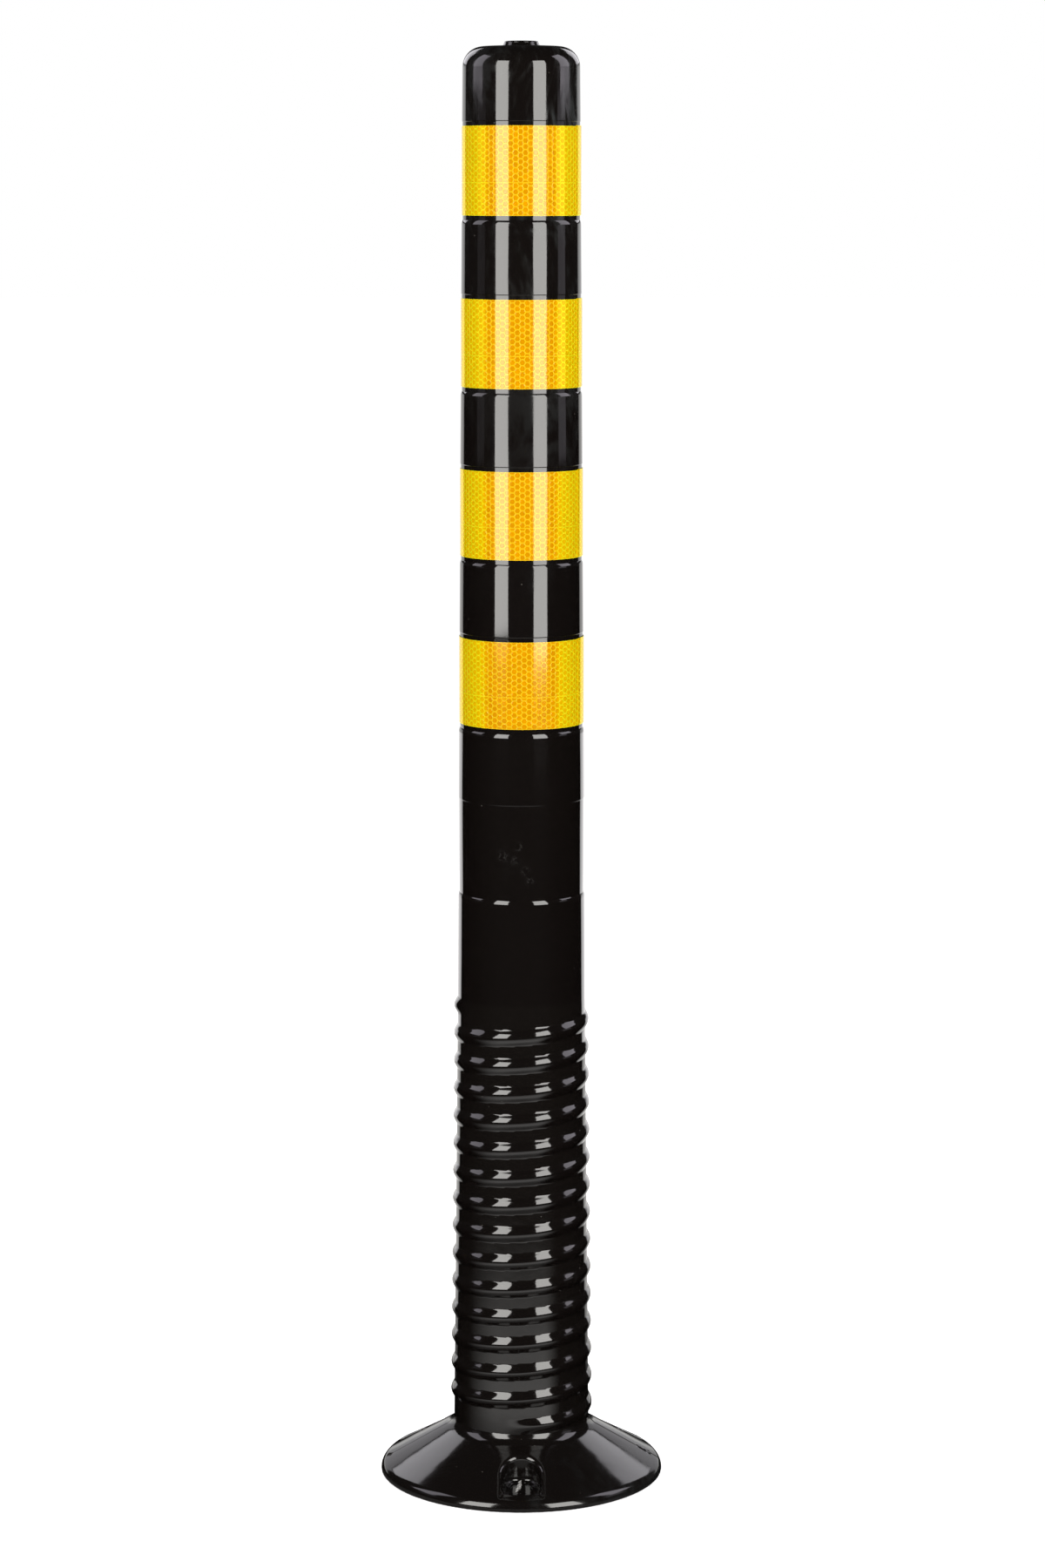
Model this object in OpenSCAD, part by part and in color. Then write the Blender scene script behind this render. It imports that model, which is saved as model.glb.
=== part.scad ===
// Flexible delineator post: a one-piece elastomer moulding on a round bolt-down base,
// reflective bands in shallow recesses, and a push-in plug that closes the top.
// The moulding is divided into a base, a stack of flex sections and a tube, so that
// its ribbed zone can bend.

/* [Post] */
// Height of the moulding above the ground
post_h = 1000; // [960:10:1300]
// Diameter at the top, before its edge is rounded
top_d = 80; // [70:1:110]
// Growth in diameter over a metre, from the top down
taper_per_m = 14.5; // [4:0.5:20]
// Wall of the tube
tube_wall = 5; // [3:0.5:8]
// Thickness of the closed top
top_t = 8; // [5:0.5:14]
// Radius of the rounded top edge
top_round = 14; // [8:1:20]
// Fall of the domed top from the plug's seat to the rounded edge
top_fall = 0.6; // [0.2:0.1:2]

/* [Recesses and bands] */
// Number of recesses for bands
recess_count = 5; // [1:1:5]
// Number of recesses that carry a band, from the top down
band_count = 4; // [1:1:5]
// Plain height above the first recess
top_land = 51; // [40:1:80]
// Plain height between two recesses
land_h = 50; // [30:1:60]
// Height of a reflective band
band_h = 60; // [40:1:72]
// Thickness of a reflective band
band_t = 0.4; // [0.3:0.05:0.8]
// Gap between a band and each end of its recess
band_gap = 3; // [1:0.5:5]
// Depth of a recess at its upper end
recess_depth = 0.3; // [0.2:0.05:1]
// Radius of the soft shoulder below each recess
shoulder_r = 7; // [3:0.5:12]
// Radius of the edge above each recess
land_edge_r = 0.8; // [0.8:0.1:2]
// Length of the lap where a band's ends overlap
lap_len = 14; // [8:1:30]
// Angle of the visible end of the lap, counter-clockwise from +X
lap_angle = 335; // [0:1:360]
// Height by which the lapped end sits low
lap_drop = 0.6; // [0:0.1:2]
// Glue gap between a recess and its band
glue = 0.05; // [0.02:0.01:0.1]

/* [Flex zone] */
// Height of the ribbed zone
flex_h = 305; // [240:5:380]
// Number of sections that the zone bends in
section_count = 7; // [7:1:7]
// Extra radius of the zone at its foot
foot_swell = 0.85; // [0:0.05:2]
// Rise of the helical rib over one turn
rib_pitch = 19.9; // [16:0.1:30]
// Height of the rib above the wall
rib_h = 2.4; // [1:0.1:4]
// Width of the rib at its foot
rib_w = 12; // [8:0.5:15]
// Roundness of the rib: 1 is a full bead, 2 has a soft foot
rib_round = 1.2; // [1:0.1:2]
// Distance from the base's neck up to the rib's first point
rib_start = 4.3; // [1:0.1:6]
// Distance from the rib's last point up to the zone's top
rib_end = 4.4; // [3:0.1:10]
// Angle of the rib's first point, counter-clockwise from +X
rib_angle = 253; // [0:1:360]
// Turn over which the rib rises out of the wall
lead_in = 48; // [20:1:90]
// Turn over which the rib sinks back into the wall
run_out = 30; // [20:1:90]

/* [Base] */
// Diameter of the base
base_d = 200; // [180:1:260]
// Angle of the base's conical top
cone_angle = 29.5; // [24:0.5:32]
// Height of the widest point of the rim
rim_z = 1.4; // [0.5:0.1:5]
// Radius of the rim above its widest point
rim_r = 8.2; // [3:0.1:12]
// Radius of the fillet between cone and neck
neck_fillet = 12.5; // [8:0.5:16]
// Radial depth by which the fillet cuts the neck, which leaves the crease
crease = 0.6; // [0.2:0.1:1.5]
// Wall above the hollow underside
base_wall = 8; // [6:0.5:10]
// Width of the foot ring under the rim
foot_ring = 12; // [9:0.5:16]
// Thickness of the wall that carries the tube down to the ground
skirt_wall = 8; // [6:0.5:12]
// Thickness of the stiffening ribs under the base
under_rib = 6; // [4:0.5:10]

/* [Anchor pockets] */
// Number of anchor pockets
pocket_count = 3; // [3:1:4]
// Diameter of the circle through the anchor holes
anchor_pcd = 150; // [140:1:160]
// Width of a pocket
pocket_w = 28; // [26:1:34]
// Height of a pocket's floor
pocket_floor = 10; // [8:0.5:12]
// Diameter of an anchor hole
anchor_d = 14; // [10:0.5:18]
// Diameter of the washer seat
washer_d = 23.5; // [20:0.5:25]
// Depth of the washer seat
washer_depth = 0.6; // [0.3:0.1:1]
// Wall around a pocket, inside the hollow base
pocket_wall = 5; // [4:0.5:8]
// Angle of the first pocket, counter-clockwise from +X
pocket_angle = 270; // [0:1:360]

/* [Top plug] */
// Diameter of the plug's head at its foot
plug_d = 25; // [20:0.5:30]
// Height of the plug's head
plug_h = 3; // [2:0.5:5]
// Inward lean of the head's side
plug_lean = 1; // [0.5:0.1:2]
// Depth of the dish in the plug's head
plug_dish = 0.5; // [0.2:0.1:1]
// Diameter of the plug's stem
stem_d = 16; // [10:0.5:18]
// Radial gap between stem and hole
stem_gap = 0.05; // [0.02:0.01:0.1]
// Width by which the barb stands out of the stem
barb = 1.4; // [0.8:0.1:2]
// Length of the barb
barb_len = 6; // [4:0.5:10]

/* [Hidden] */

$fn = 96;
// steps of an arc in an outline
arc_steps = 8;
// a cut runs this far past the face that it opens
past = 1;
// columns round a flex section, and rows up it
flex_cols = 32;
flex_rows = 16;

base_r = base_d / 2;
recess_h = band_h + 2 * band_gap;

// outside and inside of the tapered tube, carried on down to the ground
function body_r(z) = top_d / 2 + (post_h - z) * taper_per_m / 2000;
function core_r(z) = body_r(z) - tube_wall;

// an arc of an outline, from angle a0 to angle a1
function arc(x, z, r, a0, a1) =
    [for (i = [0:arc_steps]) let (a = a0 + (a1 - a0) * i / arc_steps) [x + r * cos(a), z + r * sin(a)]];

// the cone touches the rim's arc: every point of it has this reach along the cone's normal
cone_reach = (base_r - rim_r) * sin(cone_angle) + rim_z * cos(cone_angle) + rim_r;
function cone_z(r) = (cone_reach - r * sin(cone_angle)) / cos(cone_angle);

// the neck: the fillet's centre, and the crease where it meets the ribbed zone
neck_r = body_r(cone_z(body_r(0))) + foot_swell;
fillet_x = neck_r + neck_fillet - crease;
fillet_z = (cone_reach + neck_fillet - fillet_x * sin(cone_angle)) / cos(cone_angle);
crease_angle = acos((neck_fillet - crease) / neck_fillet);
neck_z = fillet_z - neck_fillet * sin(crease_angle);

flex_top = neck_z + flex_h;
section_h = flex_h / section_count;

// wall of the ribbed zone without its rib: it swells from the tube's line to the neck
function root_r(z) = body_r(z) + (neck_r - body_r(neck_z)) * (flex_top - z) / flex_h;

// the helical rib, followed by the angle that it has turned through
rib_turn = 360 * (flex_h - rib_start - rib_end) / rib_pitch;
function smooth(t) = let (c = min(max(t, 0), 1)) c * c * (3 - 2 * c);
function rib_fade(t) = smooth(min(t / lead_in, (rib_turn - t) / run_out));
function rib_lift(a, z) =
    let (at_z = (z - neck_z - rib_start) * 360 / rib_pitch)
    let (from_start = a - rib_angle)
    let (t = from_start + 360 * round((at_z - from_start) / 360))
    let (off = (at_z - t) * rib_pitch / 360)
    abs(off) < rib_w / 2 ? rib_h * rib_fade(t) * pow(cos(180 * off / rib_w), rib_round) : 0;

function recess_top(i) = post_h - top_land - i * (recess_h + land_h);
function floor_r(i) = body_r(recess_top(i)) - recess_depth;

// outline of one recess, from the edge above it to the shoulder below it
function recess_outline(i) =
    let (high = recess_top(i), low = high - recess_h)
    let (edge = acos(1 - recess_depth / land_edge_r))
    let (lower_r = body_r(low), step = lower_r - floor_r(i))
    let (turn = acos(1 - step / shoulder_r))
    concat(
        arc(body_r(high) - land_edge_r, high + land_edge_r * sin(edge), land_edge_r, 0, -edge),
        arc(lower_r - shoulder_r, low - shoulder_r * sin(turn), shoulder_r, turn, 0)
    );

module tube_outline() {
    corner_x = top_d / 2 - top_round;
    corner_z = post_h - top_fall - top_round;
    hole_r = stem_d / 2 + stem_gap;
    polygon(concat(
        [[hole_r, post_h], [plug_d / 2 + past, post_h]],
        arc(corner_x, corner_z, top_round, 90, 0),
        [for (i = [0:recess_count - 1]) each recess_outline(i)],
        [[body_r(flex_top), flex_top], [core_r(flex_top), flex_top]],
        [[core_r(corner_z), corner_z]],
        [[corner_x, post_h - top_t], [hole_r, post_h - top_t]]
    ));
}

module base_outline() {
    polygon(concat(
        [[core_r(0), 0], [base_r - rim_z, 0]],
        arc(base_r - rim_z, rim_z, rim_z, 270, 360),
        arc(base_r - rim_r, rim_z, rim_r, 0, 90 - cone_angle),
        arc(fillet_x, fillet_z, neck_fillet, 270 - cone_angle, 180 + crease_angle),
        [[neck_r, neck_z], [core_r(neck_z), neck_z]]
    ));
}

// angles of the anchor pockets
pocket_angles = [for (i = [0:pocket_count - 1]) pocket_angle + i * 360 / pocket_count];

// plan of a pocket, grown by a margin, open towards the rim
module pocket_plan(margin) {
    r = pocket_w / 2 + margin;
    translate([anchor_pcd / 2, 0]) circle(r);
    translate([anchor_pcd / 2, -r]) square([base_r, 2 * r]);
}

// hollow of the underside: a ring under the cone, broken by pocket walls and ribs
module underside_hollow() {
    inner = core_r(0) + skirt_wall;
    outer = base_r - foot_ring;
    drop = base_wall / cos(cone_angle);
    difference() {
        rotate_extrude()
            polygon([
                [inner, -past], [outer, -past],
                [outer, cone_z(outer) - drop], [inner, cone_z(inner) - drop]
            ]);
        for (a = pocket_angles) {
            rotate(a)
                translate([0, 0, -2 * past])
                    linear_extrude(neck_z)
                        pocket_plan(pocket_wall);
            rotate(a + 180 / pocket_count)
                translate([0, -under_rib / 2, -2 * past])
                    cube([base_r, under_rib, neck_z]);
        }
    }
}

module base_flange() {
    color([0.05, 0.05, 0.05])
        difference() {
            rotate_extrude() base_outline();
            underside_hollow();
            for (a = pocket_angles)
                rotate(a) {
                    translate([0, 0, pocket_floor])
                        linear_extrude(neck_z)
                            pocket_plan(0);
                    translate([anchor_pcd / 2, 0, -past])
                        cylinder(d = anchor_d, h = pocket_floor + 2 * past);
                    translate([anchor_pcd / 2, 0, pocket_floor - washer_depth])
                        cylinder(d = washer_d, h = washer_depth + past);
                }
        }
}

// one section of the ribbed zone, as a closed ring: outer rows first, then the two inner rings
module flex_section(i) {
    low = neck_z + (i - 1) * section_h;
    outer = [
        for (row = [0:flex_rows], col = [0:flex_cols - 1])
            let (z = low + section_h * row / flex_rows, a = 360 * col / flex_cols)
            let (r = root_r(z) + rib_lift(a, z))
            [r * cos(a), r * sin(a), z]
    ];
    inner = [
        for (z = [low, low + section_h], col = [0:flex_cols - 1])
            let (a = 360 * col / flex_cols)
            [core_r(z) * cos(a), core_r(z) * sin(a), z]
    ];
    // first points of the rings that bound the section
    outer_top = flex_rows * flex_cols;
    inner_low = outer_top + flex_cols;
    inner_top = inner_low + flex_cols;
    function band(a, b) = [
        for (col = [0:flex_cols - 1])
            let (next = (col + 1) % flex_cols)
            each [[a + col, b + col, b + next], [a + col, b + next, a + next]]
    ];
    color([0.08, 0.08, 0.08])
        polyhedron(
            concat(outer, inner),
            concat(
                [for (row = [0:flex_rows - 1]) each band(row * flex_cols, (row + 1) * flex_cols)],
                band(outer_top, inner_top),
                band(inner_top, inner_low),
                band(inner_low, 0)
            )
        );
}

module post_tube() {
    color([0.05, 0.05, 0.05]) rotate_extrude() tube_outline();
}

// band i, numbered from the top: a sleeve whose outer end laps over its beginning
module reflective_band(i) {
    inner = floor_r(i - 1) + glue;
    low = recess_top(i - 1) - band_gap - band_h;
    turn = lap_len / inner * 180 / PI;
    color([1, 0.75, 0]) {
        translate([0, 0, low])
            difference() {
                cylinder(r = inner + band_t, h = band_h);
                translate([0, 0, -past]) cylinder(r = inner, h = band_h + 2 * past);
            }
        translate([0, 0, low - lap_drop])
            rotate(lap_angle)
                rotate_extrude(angle = turn)
                    translate([inner + band_t / 2, 0])
                        square([band_t * 3 / 2, band_h]);
    }
}

module top_plug() {
    foot = plug_d / 2;
    crown = foot - plug_lean;
    stem = stem_d / 2;
    under = post_h - top_t;
    color([0.1, 0.1, 0.1])
        rotate_extrude()
            polygon(concat(
                [[0, under - barb_len], [stem - barb, under - barb_len]],
                [[stem + barb, under - stem_gap], [stem, under - stem_gap]],
                [[stem, post_h], [foot, post_h]],
                arc(crown - plug_lean, post_h + plug_h - plug_lean, plug_lean, 0, 90),
                [[stem / 2, post_h + plug_h - plug_dish], [0, post_h + plug_h - plug_dish]]
            ));
}

base_flange();
flex_section(1);  // flex_section_1
flex_section(2);  // flex_section_2
flex_section(3);  // flex_section_3
flex_section(4);  // flex_section_4
flex_section(5);  // flex_section_5
flex_section(6);  // flex_section_6
flex_section(7);  // flex_section_7
post_tube();
reflective_band(1);  // reflective_band_1
reflective_band(2);  // reflective_band_2
reflective_band(3);  // reflective_band_3
reflective_band(4);  // reflective_band_4
top_plug();
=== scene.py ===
"""Flexible delineator post: a one-piece rubber moulding on a round bolt-down base,
with reflective bands and a top plug.

The base, the ribbed flex zone, the tube, the bands and the plug are finely made pieces
that stand for the plain CAD solids. Sizes are in metres and repeat the sizes of the part.
"""
import math

import bpy
import numpy as np
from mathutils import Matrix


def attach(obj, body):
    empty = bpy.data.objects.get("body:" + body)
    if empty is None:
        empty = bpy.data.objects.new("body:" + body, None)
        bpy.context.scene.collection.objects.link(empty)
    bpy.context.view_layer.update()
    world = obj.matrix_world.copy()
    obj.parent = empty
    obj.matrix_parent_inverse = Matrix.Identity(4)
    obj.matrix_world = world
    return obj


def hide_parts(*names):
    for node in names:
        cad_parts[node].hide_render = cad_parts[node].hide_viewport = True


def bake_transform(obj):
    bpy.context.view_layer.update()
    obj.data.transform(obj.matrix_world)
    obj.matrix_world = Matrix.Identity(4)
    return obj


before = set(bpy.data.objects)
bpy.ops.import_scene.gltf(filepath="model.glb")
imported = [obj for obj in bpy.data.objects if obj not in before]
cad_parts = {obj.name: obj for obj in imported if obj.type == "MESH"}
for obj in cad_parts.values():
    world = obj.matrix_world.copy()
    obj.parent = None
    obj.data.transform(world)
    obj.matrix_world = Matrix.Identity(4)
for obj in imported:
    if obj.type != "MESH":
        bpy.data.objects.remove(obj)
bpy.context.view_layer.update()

# ---------------------------------------------------------------- sizes of the part

POST_H = 1.0
TOP_D = 0.080
TAPER = 0.0145
TUBE_WALL = 0.005
TOP_T = 0.008
TOP_ROUND = 0.014
TOP_FALL = 0.0006

RECESS_COUNT = 5
BAND_COUNT = 4
TOP_LAND = 0.051
LAND_H = 0.050
BAND_H = 0.060
BAND_T = 0.0004
BAND_GAP = 0.003
RECESS_DEPTH = 0.0003
SHOULDER_R = 0.007
LAND_EDGE_R = 0.0008
LAP_LEN = 0.014
LAP_ANGLE = math.radians(335)
GLUE = 0.00005

FLEX_H = 0.305
SECTION_COUNT = 7
FOOT_SWELL = 0.00085
RIB_PITCH = 0.0199
RIB_H = 0.0024
RIB_W = 0.012
RIB_ROUND = 1.2
RIB_START = 0.0043
RIB_END = 0.0044
RIB_ANGLE = 253
LEAD_IN = 48
RUN_OUT = 30

BASE_R = 0.100
CONE_ANGLE = math.radians(29.5)
RIM_Z = 0.0014
RIM_R = 0.0082
NECK_FILLET = 0.0125
CREASE = 0.0006
BASE_WALL = 0.008
FOOT_RING = 0.012
SKIRT_WALL = 0.008
UNDER_RIB = 0.006

POCKET_COUNT = 3
ANCHOR_R = 0.075
POCKET_W = 0.028
POCKET_FLOOR = 0.010
ANCHOR_D = 0.014
WASHER_D = 0.0235
WASHER_DEPTH = 0.0006
POCKET_WALL = 0.005
POCKET_ANGLE = math.radians(270)

PLUG_D = 0.025
PLUG_H = 0.003
PLUG_LEAN = 0.001
PLUG_DISH = 0.0005
STEM_D = 0.016
STEM_GAP = 0.00005
BARB = 0.0014
BARB_LEN = 0.006

# what follows from those sizes
CONE_SIN = math.sin(CONE_ANGLE)
CONE_COS = math.cos(CONE_ANGLE)
CONE_REACH = (BASE_R - RIM_R) * CONE_SIN + RIM_Z * CONE_COS + RIM_R
RECESS_H = BAND_H + 2 * BAND_GAP


def body_r(z):
    """Outside of the tapered tube, carried on down to the ground."""
    return TOP_D / 2 + (POST_H - z) * TAPER / 2


def core_r(z):
    """Inside of the tube."""
    return body_r(z) - TUBE_WALL


def cone_z(r):
    """Height of the base's conical top."""
    return (CONE_REACH - r * CONE_SIN) / CONE_COS


NECK_R = body_r(cone_z(body_r(0))) + FOOT_SWELL
FILLET_X = NECK_R + NECK_FILLET - CREASE
FILLET_Z = (CONE_REACH + NECK_FILLET - FILLET_X * CONE_SIN) / CONE_COS
CREASE_ANGLE = math.acos((NECK_FILLET - CREASE) / NECK_FILLET)
NECK_Z = FILLET_Z - NECK_FILLET * math.sin(CREASE_ANGLE)
FLEX_TOP = NECK_Z + FLEX_H
SECTION_H = FLEX_H / SECTION_COUNT
POCKET_ANGLES = [POCKET_ANGLE + i * math.tau / POCKET_COUNT for i in range(POCKET_COUNT)]

# ---------------------------------------------------------------- short calls for node trees


class Tree:
    """Adds nodes to one node tree with short calls."""

    def __init__(self, tree):
        self.tree = tree

    def put(self, socket, value):
        if isinstance(value, bpy.types.NodeSocket):
            self.tree.links.new(value, socket)
        elif value is not None:
            socket.default_value = value

    def add(self, kind, inputs=None, **settings):
        node = self.tree.nodes.new(kind)
        for name, value in settings.items():
            setattr(node, name, value)
        for key, value in (inputs or {}).items():
            self.put(node.inputs[key], value)
        return node

    def math(self, operation, *values, clamp=False):
        node = self.tree.nodes.new("ShaderNodeMath")
        node.operation = operation
        node.use_clamp = clamp
        for socket, value in zip(node.inputs, values):
            self.put(socket, value)
        return node.outputs[0]

    def span(self, value, low, high, to_low=0.0, to_high=1.0, smooth=True):
        """A value carried from one range to another, and held at its ends."""
        node = self.tree.nodes.new("ShaderNodeMapRange")
        node.interpolation_type = "SMOOTHSTEP" if smooth else "LINEAR"
        for socket, x in zip(node.inputs, (value, low, high, to_low, to_high)):
            self.put(socket, x)
        return node.outputs[0]

    def xyz(self, x, y, z):
        return self.add("ShaderNodeCombineXYZ", {0: x, 1: y, 2: z}).outputs[0]

    def parts(self, vector):
        return self.add("ShaderNodeSeparateXYZ", {0: vector}).outputs

    def product(self, first, *others):
        """Several values multiplied together."""
        for value in others:
            first = self.math("MULTIPLY", first, value)
        return first

    def noise(self, place, scale, detail, roughness=0.5):
        """Soft cloudy noise between 0 and 1."""
        inputs = {"Vector": place, "Scale": scale, "Detail": detail, "Roughness": roughness}
        return self.add("ShaderNodeTexNoise", inputs).outputs[0]


def new_group(name, kind, inputs, outputs):
    """A node group with named sockets: inputs are (name, type, value), outputs (name, type)."""
    tree = bpy.data.node_groups.new(name, kind)
    for label, form, value in inputs:
        socket = tree.interface.new_socket(label, in_out="INPUT", socket_type="NodeSocket" + form)
        if value is not None:
            socket.default_value = value
    for label, form in outputs:
        tree.interface.new_socket(label, in_out="OUTPUT", socket_type="NodeSocket" + form)
    nodes = Tree(tree)
    return tree, nodes, nodes.add("NodeGroupInput").outputs, nodes.add("NodeGroupOutput").inputs


def run_tree(name, tree, values):
    """The plain mesh that a geometry tree makes from these input values."""
    mesh = bpy.data.meshes.new(name)
    holder = bpy.data.objects.new(name, mesh)
    bpy.context.scene.collection.objects.link(holder)
    modifier = holder.modifiers.new("shape", "NODES")
    modifier.node_group = tree
    sockets = {s.name: s.identifier for s in tree.interface.items_tree if s.in_out == "INPUT"}
    for label, value in values.items():
        modifier[sockets[label]] = value
    seen = holder.evaluated_get(bpy.context.evaluated_depsgraph_get())
    result = bpy.data.meshes.new_from_object(seen)
    holder.modifiers.clear()
    holder.data = result
    result.name = name
    bpy.data.meshes.remove(mesh)
    return holder


# ---------------------------------------------------------------- short calls for meshes

SAME_PLACE = 1e-7
ON_AXIS = 1e-9


def piece(name, points, faces, normals, material):
    """A smooth mesh object at the origin. normals holds one normal for each face corner."""
    mesh = bpy.data.meshes.new(name)
    mesh.from_pydata(points, [], faces)
    holder = bpy.data.objects.new(name, mesh)
    bpy.context.scene.collection.objects.link(holder)
    mesh.materials.append(material)
    shade(mesh, normals)
    return holder


def shade(mesh, normals):
    mesh.polygons.foreach_set("use_smooth", np.ones(len(mesh.polygons), bool))
    mesh.normals_split_custom_set(np.asarray(normals, float).reshape(-1, 3).tolist())
    mesh.update()


def arc(x, z, r, first, last, steps=10):
    """A run of an outline along an arc: rows of radius, height and outward normal."""
    rows = []
    for i in range(steps + 1):
        a = first + (last - first) * i / steps
        n = (math.cos(a), math.sin(a))
        rows.append((x + r * n[0], z + r * n[1], n[0], n[1]))
    return rows


def line(r0, z0, r1, z1, steps=1):
    """A straight run of an outline. The solid lies on its right-hand side."""
    length = math.hypot(r1 - r0, z1 - z0)
    n = (-(z1 - z0) / length, (r1 - r0) / length)
    return [
        (r0 + (r1 - r0) * i / steps, z0 + (z1 - z0) * i / steps, n[0], n[1])
        for i in range(steps + 1)
    ]


def lathe(name, runs, columns, material):
    """Turns an outline round the Z axis.

    The runs follow each other, and close on themselves or on the axis.
    """
    rings, spans = [], []
    for run in runs:
        for i, row in enumerate(run):
            place = (row[0], row[1])
            if not rings or math.dist(rings[-1], place) > SAME_PLACE:
                rings.append(place)
            if i:
                spans.append((len(rings) - 2, len(rings) - 1, run[i - 1][2:], row[2:]))
    closed = math.dist(rings[0], rings[-1]) < SAME_PLACE
    if closed:
        rings.pop()
    turn = [math.tau * c / columns for c in range(columns)]
    points, first = [], []
    for r, z in rings:
        first.append(len(points))
        if r < ON_AXIS:
            points.append((0, 0, z))
        else:
            points += [(r * math.cos(a), r * math.sin(a), z) for a in turn]
    faces, normals = [], []
    for low, high, n_low, n_high in spans:
        high %= len(rings)
        for c in range(columns):
            d = (c + 1) % columns
            corners = [(low, c, n_low), (low, d, n_low), (high, d, n_high), (high, c, n_high)]
            if rings[low][0] < ON_AXIS:
                corners.pop(1)
            elif rings[high][0] < ON_AXIS:
                corners.pop(2)
            corners.reverse()
            face = []
            for ring, column, n in corners:
                axis = rings[ring][0] < ON_AXIS
                face.append(first[ring] + (0 if axis else column))
                a = turn[column]
                normals.append((n[0] * math.cos(a), n[0] * math.sin(a), n[1]))
            faces.append(face)
    return piece(name, points, faces, normals, material)


def flat_piece(name, points, faces, material):
    """A mesh object with flat faces, each one planar or nearly so."""
    p = np.array(points)
    normals = []
    for face in faces:
        corners = p[list(face)]
        after = np.roll(corners, -1, axis=0)
        n = np.cross(corners - corners[0], after - corners[0]).sum(0)
        normals += [n / np.linalg.norm(n)] * len(face)
    return piece(name, points, faces, normals, material)


def four_sided_bar(name, rings, material):
    """A closed bar through rings of four points, each ring in the same order."""
    points = [point for ring in rings for point in ring]
    faces = []
    for a in range(0, len(points) - 4, 4):
        faces += [(a + i, a + (i + 1) % 4, a + 4 + (i + 1) % 4, a + 4 + i) for i in range(4)]
    end = len(points) - 4
    faces += [(3, 2, 1, 0), (end, end + 1, end + 2, end + 3)]
    return flat_piece(name, points, faces, material)


def corners_of(mesh):
    """The vertex at each face corner, and the face that owns the corner."""
    corners = np.zeros(len(mesh.loops), int)
    mesh.loops.foreach_get("vertex_index", corners)
    owner = np.repeat(np.arange(len(mesh.polygons)), [p.loop_total for p in mesh.polygons])
    return corners, owner


def vectors_of(items, count, label):
    """Rows of three numbers read from a mesh layer."""
    flat = np.zeros(count * 3)
    items.foreach_get(label, flat)
    return flat.reshape(-1, 3)


# ---------------------------------------------------------------- finishes

FINE_GRAIN = 900.0


def waves_group():
    """Slow waves in a moulded face, drawn out along the post."""
    tree, n, i, o = new_group(
        "Moulded waviness",
        "ShaderNodeTree",
        [
            ("Place", "Vector", None), ("Across", "Float", 60.0), ("Along", "Float", 14.0),
            ("Grain", "Float", 0.15),
        ],
        [("Height", "Float")],
    )
    p = n.parts(i["Place"])
    drawn_out = n.xyz(
        n.math("MULTIPLY", p[0], i["Across"]),
        n.math("MULTIPLY", p[1], i["Across"]),
        n.math("MULTIPLY", p[2], i["Along"]),
    )
    wide = n.noise(drawn_out, 1.0, 2.0, 0.35)
    fine = n.noise(i["Place"], FINE_GRAIN, 2.0)
    n.put(o["Height"], n.math("MULTIPLY_ADD", fine, n.math("MULTIPLY", i["Grain"], 0.1), wide))
    return tree


def smears_group():
    """Swirled streaks where the face was wiped, in patches, and the tone of each patch."""
    tree, n, i, o = new_group(
        "Wiped smears",
        "ShaderNodeTree",
        [("Place", "Vector", None), ("Size", "Float", 22.0), ("Cover", "Float", 0.45), ("Swirl", "Float", 1.2)],
        [("Mask", "Float"), ("Tone", "Float")],
    )
    full, swirl_reach, stretch = 0.78, 0.03, 3.2
    bend = n.add("ShaderNodeTexNoise", {"Vector": i["Place"], "Scale": 9.0, "Detail": 1.0}).outputs[1]
    push = n.add("ShaderNodeVectorMath", {0: bend}, operation="SCALE")
    n.put(push.inputs["Scale"], n.math("MULTIPLY", i["Swirl"], swirl_reach))
    swirled = n.add("ShaderNodeVectorMath", {0: i["Place"], 1: push.outputs[0]}, operation="ADD").outputs[0]
    q = n.parts(swirled)
    drawn_out = n.xyz(n.math("MULTIPLY", q[0], stretch), n.math("MULTIPLY", q[1], stretch), q[2])
    streak = n.noise(drawn_out, i["Size"], 5.0, 0.62)
    patch = n.noise(swirled, 13.0, 2.0)
    edge = n.math("SUBTRACT", full, n.math("MULTIPLY", i["Cover"], 0.4))
    both = n.math("MULTIPLY_ADD", patch, 0.5, n.math("MULTIPLY", streak, 0.5))
    n.put(o["Mask"], n.span(both, edge, full))
    n.put(o["Tone"], n.span(patch, 0.35, 0.65))
    return tree


def scratches_group():
    """Hair-fine scratches that run mostly one way, in patches."""
    tree, n, i, o = new_group(
        "Fine scratches",
        "ShaderNodeTree",
        [("Place", "Vector", None), ("Size", "Float", 60.0), ("Amount", "Float", 0.5)],
        [("Mask", "Float")],
    )
    stretch, hair_width = 30.0, 0.012
    turned = n.add("ShaderNodeMapping", {"Vector": i["Place"], "Rotation": (0.35, 0.5, 0.8)}).outputs[0]
    q = n.parts(turned)
    drawn_out = n.xyz(n.math("MULTIPLY", q[0], stretch), n.math("MULTIPLY", q[1], stretch), q[2])
    off_middle = n.math("ABSOLUTE", n.math("SUBTRACT", n.noise(drawn_out, i["Size"], 1.0), 0.5))
    hair = n.span(off_middle, 0.0, hair_width, 1.0, 0.0)
    patch = n.span(n.noise(i["Place"], 24.0, 2.0), 0.58, 0.7)
    n.put(o["Mask"], n.product(hair, patch, i["Amount"]))
    return tree


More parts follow.
